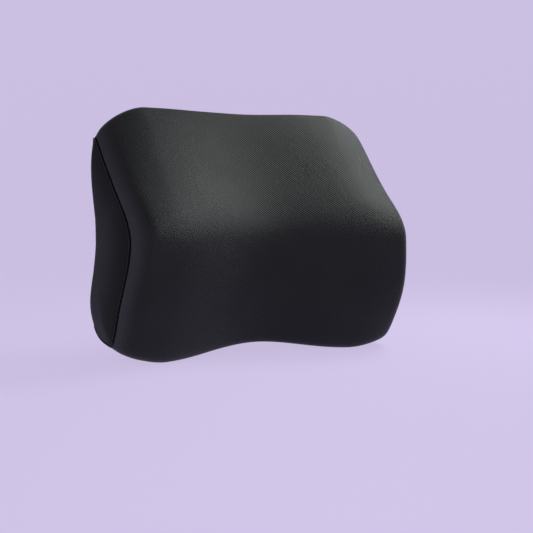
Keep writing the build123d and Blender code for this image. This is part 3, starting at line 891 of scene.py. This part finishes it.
def straps():
    """Both webbings, from the end seams to the buckle and back on themselves; the right one ends in a hem."""
    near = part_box("buckle_female")[0].x
    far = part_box("buckle_male")[1].x
    bar, slot, run = 4.5 * MM, 6.0 * MM, 0.3 * MM
    up = near + bar + run + WEB / 2
    loop, hem_length = 24.0 * MM, 12.0 * MM
    loop_end = near - loop
    tail = STRAP_Y + LAYER
    root_x, root_y = 0.1296, -0.0050
    left = [(-root_x, root_y), (-root_x, STRAP_Y), (up, STRAP_Y), (up, OVER_BAR), (near - 1.5 * MM, OVER_BAR),
            (near - 5.0 * MM, tail), (loop_end, tail)]
    middle = far - bar - slot - bar
    up, down = middle - run - WEB / 2, middle + bar + run + WEB / 2
    hem = 0.105
    right = [(root_x, root_y), (root_x, STRAP_Y), (up, STRAP_Y), (up, OVER_BAR), (down, OVER_BAR), (down, tail),
             (hem, tail), (hem, tail + LAYER), (hem - hem_length, tail + LAYER)]
    fold, bend, hem_fold = 1.6 * MM, 7.5 * MM, 0.85 * MM
    return (strap("webbing_left", left, (bend, fold, fold, fold, fold)),
            strap("webbing_right", right, (bend, fold, fold, fold, fold, hem_fold, hem_fold)))


web_left, web_right = straps()
add(web_left, WEBBING, replaced=("strap_left",))
add(web_right, WEBBING, replaced=("strap_right",))


def bartack_stitches():
    """Dense zigzag stitching where the webbing is sewn to itself."""
    low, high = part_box("bartacks")
    width, apart, lift = 2.0 * MM, 12.0 * MM, 0.12 * MM
    runs = []
    loop_top, hem_top = STRAP_Y + LAYER + WEB / 2, STRAP_Y + 2 * LAYER + WEB / 2
    for x, y in ((low.x, loop_top), (low.x + apart, loop_top), (high.x - width, hem_top)):
        z = np.arange(low.z, high.z, 0.75 * MM)
        side = np.where(np.arange(len(z)) % 2 == 0, 0.0, width)
        runs.append(np.stack([x + side, np.full(len(z), y + lift), z], -1))
    x = np.linspace(low.x + width, low.x + apart, 12)
    for z in (low.z + 1.0 * MM, high.z - 1.0 * MM):
        runs += stitch_runs(np.stack([x, np.full(12, loop_top), np.full(12, z)], -1), 2.4 * MM, 0.75, 0.3 * MM,
                            (0.0, 1.0, 0.0))
    return sweep("bartack_stitches", runs, 0.30 * MM)


add(bartack_stitches(), THREAD, replaced=("bartacks",))


# ---- label --------------------------------------------------------------------------------
def ribbon_label():
    """Blank ribbon, slightly curled where it hangs free."""
    low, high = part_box("care_label")
    x = np.linspace(low.x, high.x, 18)
    z = np.linspace(low.z, high.z, 26)
    gx, gz = np.meshgrid(x, z, indexing="ij")
    drop = (high.z - gz) / (high.z - low.z)
    across = (gx - low.x) / (high.x - low.x) - 0.5
    gy = (low.y + high.y) / 2 + 1.6 * MM * drop ** 2 + 0.5 * MM * drop * np.sin(across * 5.0)
    return sheet_object("ribbon_label", np.stack([gx, gy, gz], -1), 0.35 * MM, 0.1 * MM)


add(ribbon_label(), RIBBON, replaced=("care_label",))

# ---- CAD pieces that stay -----------------------------------------------------------------
for nodes, material in (
        (("buckle_female", "buckle_male", "latch_arm_lower", "latch_arm_upper", "strap_keeper"), PLASTIC),
        (("zip_slider", "zip_pull", "zip_stops"), METAL)):
    for node in nodes:
        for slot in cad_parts[node].material_slots:
            slot.material = material

# ---- studio -------------------------------------------------------------------------------
LAVENDER = (0.597, 0.527, 0.745)
PAPER = tuple(0.16 * c for c in LAVENDER)
FLOOR_GLOW = 0.92


def backdrop():
    """Seamless paper all round: a floor that curves up into a round wall."""
    floor = cad_box[0].z - 0.5 * MM
    flat, bend, tall, around = 1.9, 0.9, 4.0, 96
    line = [(0.4, 0.0), (1.1, 0.0), (flat, 0.0)]
    for k in range(1, 17):
        turn = math.pi / 2 * k / 16
        line.append((flat + bend * math.sin(turn), bend - bend * math.cos(turn)))
    line.append((flat + bend, tall))
    points = [(0.0, 0.0, floor)]
    for radius, height in line:
        for k in range(around):
            angle = 2 * math.pi * k / around
            points.append((radius * math.cos(angle), radius * math.sin(angle), floor + height))
    faces = [(0, 1 + k, 1 + (k + 1) % around) for k in range(around)]
    for r in range(len(line) - 1):
        low, high = 1 + r * around, 1 + (r + 1) * around
        faces += [(low + k, high + k, high + (k + 1) % around, low + (k + 1) % around) for k in range(around)]
    obj = mesh_object("backdrop", points, faces)
    m = Shader("paper")
    shade = m.cloud(0.5)
    colour = m.ramp(shade, [(0.0, tuple(c * 0.995 for c in PAPER)), (1.0, PAPER)])
    m.finish(colour, 0.95, m.bump(m.cloud(1.0 * MM), 0.02 * MM, 0.3), Specular_IOR_Level=0.0)
    m.shader.inputs["Emission Color"].default_value = (*LAVENDER, 1.0)
    m.shader.inputs["Emission Strength"].default_value = FLOOR_GLOW
    obj.data.materials.append(m.material)


backdrop()


def area_light(name, place, aim, size, power, colour=(1.0, 1.0, 1.0)):
    data = bpy.data.lights.new(name, "AREA")
    data.shape = "RECTANGLE"
    data.size, data.size_y = size
    data.energy = power
    data.color = colour
    obj = bpy.data.objects.new(name, data)
    bpy.context.scene.collection.objects.link(obj)
    obj.location = place
    obj.rotation_euler = (Vector(aim) - Vector(place)).to_track_quat("-Z", "Y").to_euler()
    obj.visible_camera = False


area_light("top_softbox", (0.36, -0.06, 0.42), (0.07, -0.03, 0.04), (0.30, 0.24), 3.1, (0.94, 1.0, 0.94))
area_light("front_softbox", (0.35, -0.55, 1.05), (0.06, -0.03, 0.04), (0.5, 0.5), 1.1, (0.96, 1.0, 0.94))
area_light("fill_left", (-0.20, -0.58, 0.15), (-0.09, -0.10, 0.02), (0.16, 0.16), 0.42, (0.97, 1.0, 0.92))

world = bpy.data.worlds.new("studio")
world.use_nodes = True
world.node_tree.nodes["Background"].inputs["Color"].default_value = (0.90, 0.88, 0.96, 1.0)
world.node_tree.nodes["Background"].inputs["Strength"].default_value = 0.05
bpy.context.scene.world = world

# ---- camera -------------------------------------------------------------------------------
AZIMUTH, ELEVATION = math.radians(-27.25), math.radians(3.8)
TARGET = Vector((0.0160, -0.0450, -0.0283))
DISTANCE = 0.8659
SENSOR = 36.0
LENS = 942.8 / 533.0 * SENSOR     # focal length over the width of the picture, times the sensor

camera_data = bpy.data.cameras.new("camera")
camera_data.sensor_width = SENSOR
camera_data.lens = LENS
camera = bpy.data.objects.new("camera", camera_data)
bpy.context.scene.collection.objects.link(camera)
camera.location = TARGET + DISTANCE * Vector((
    math.sin(AZIMUTH) * math.cos(ELEVATION), -math.cos(AZIMUTH) * math.cos(ELEVATION), math.sin(ELEVATION)))
camera.rotation_euler = (TARGET - camera.location).to_track_quat("-Z", "Y").to_euler()
bpy.context.scene.camera = camera
bpy.context.scene.view_settings.view_transform = "Standard"
